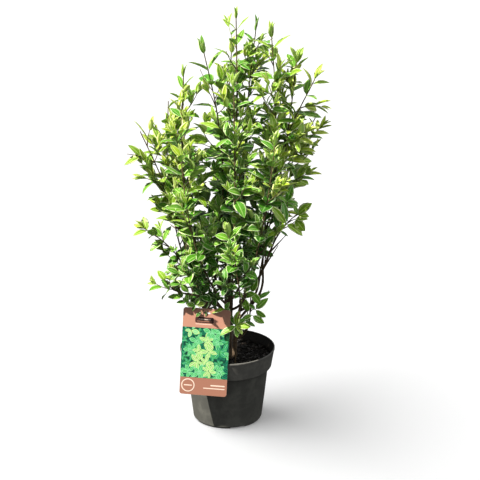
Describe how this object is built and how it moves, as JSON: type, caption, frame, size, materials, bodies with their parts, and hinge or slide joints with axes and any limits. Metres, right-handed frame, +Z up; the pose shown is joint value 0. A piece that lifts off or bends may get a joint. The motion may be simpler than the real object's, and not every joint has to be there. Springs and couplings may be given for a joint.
{
  "type": "potted shrub",
  "caption": "Bushy variegated golden privet in a round black nursery pot, with stems rising from bark compost and a picture label hung on a low bough.",
  "frame": {"origin": "centre of the pot's flat underside", "axes": "+Z up the plant; -Y is the side seen in the picture, +X its right"},
  "size_m": [0.404, 0.4074, 0.83],
  "materials": {
    "black_plastic": "moulded black polypropylene with a low sheen",
    "compost": "damp dark bark compost, rough",
    "printed_card": "printed plastic sheet, satin",
    "bark": "grey-brown bark, matt",
    "leaf_green": "waxy leaves, green with a yellow margin, satin"
  },
  "bodies": {
    "root": {"bough_back": "bark", "bough_back_left": "bark", "bough_back_right": "bark", "bough_far_left": "bark", "bough_far_right": "bark", "bough_front": "bark", "bough_front_left": "bark", "bough_front_right": "bark", "bough_label": "bark", "bough_left": "bark", "bough_long_right": "bark", "bough_low_front": "bark", "bough_low_left": "bark", "bough_low_right": "bark", "bough_right": "bark", "bough_top_left": "bark", "bough_top_mid": "bark", "bough_up_right": "bark", "compost": "compost", "label_card": "printed_card", "label_strap": "printed_card", "mass_back": "leaf_green", "mass_back_left": "leaf_green", "mass_back_right": "leaf_green", "mass_basal_shoot": "leaf_green", "mass_far_left": "leaf_green", "mass_far_right": "leaf_green", "mass_front": "leaf_green", "mass_front_left": "leaf_green", "mass_front_right": "leaf_green", "mass_label": "leaf_green", "mass_left": "leaf_green", "mass_left_leader": "leaf_green", "mass_long_right": "leaf_green", "mass_low_front": "leaf_green", "mass_low_left": "leaf_green", "mass_low_right": "leaf_green", "mass_right": "leaf_green", "mass_right_leader": "leaf_green", "mass_top_back": "leaf_green", "mass_top_centre": "leaf_green", "mass_top_front": "leaf_green", "mass_top_left": "leaf_green", "mass_top_mid": "leaf_green", "mass_top_right": "leaf_green", "pot": "black_plastic", "stem_back": "bark", "stem_centre": "bark", "stem_front": "bark", "stem_left": "bark", "stem_right": "bark"}
  },
  "joints": []
}
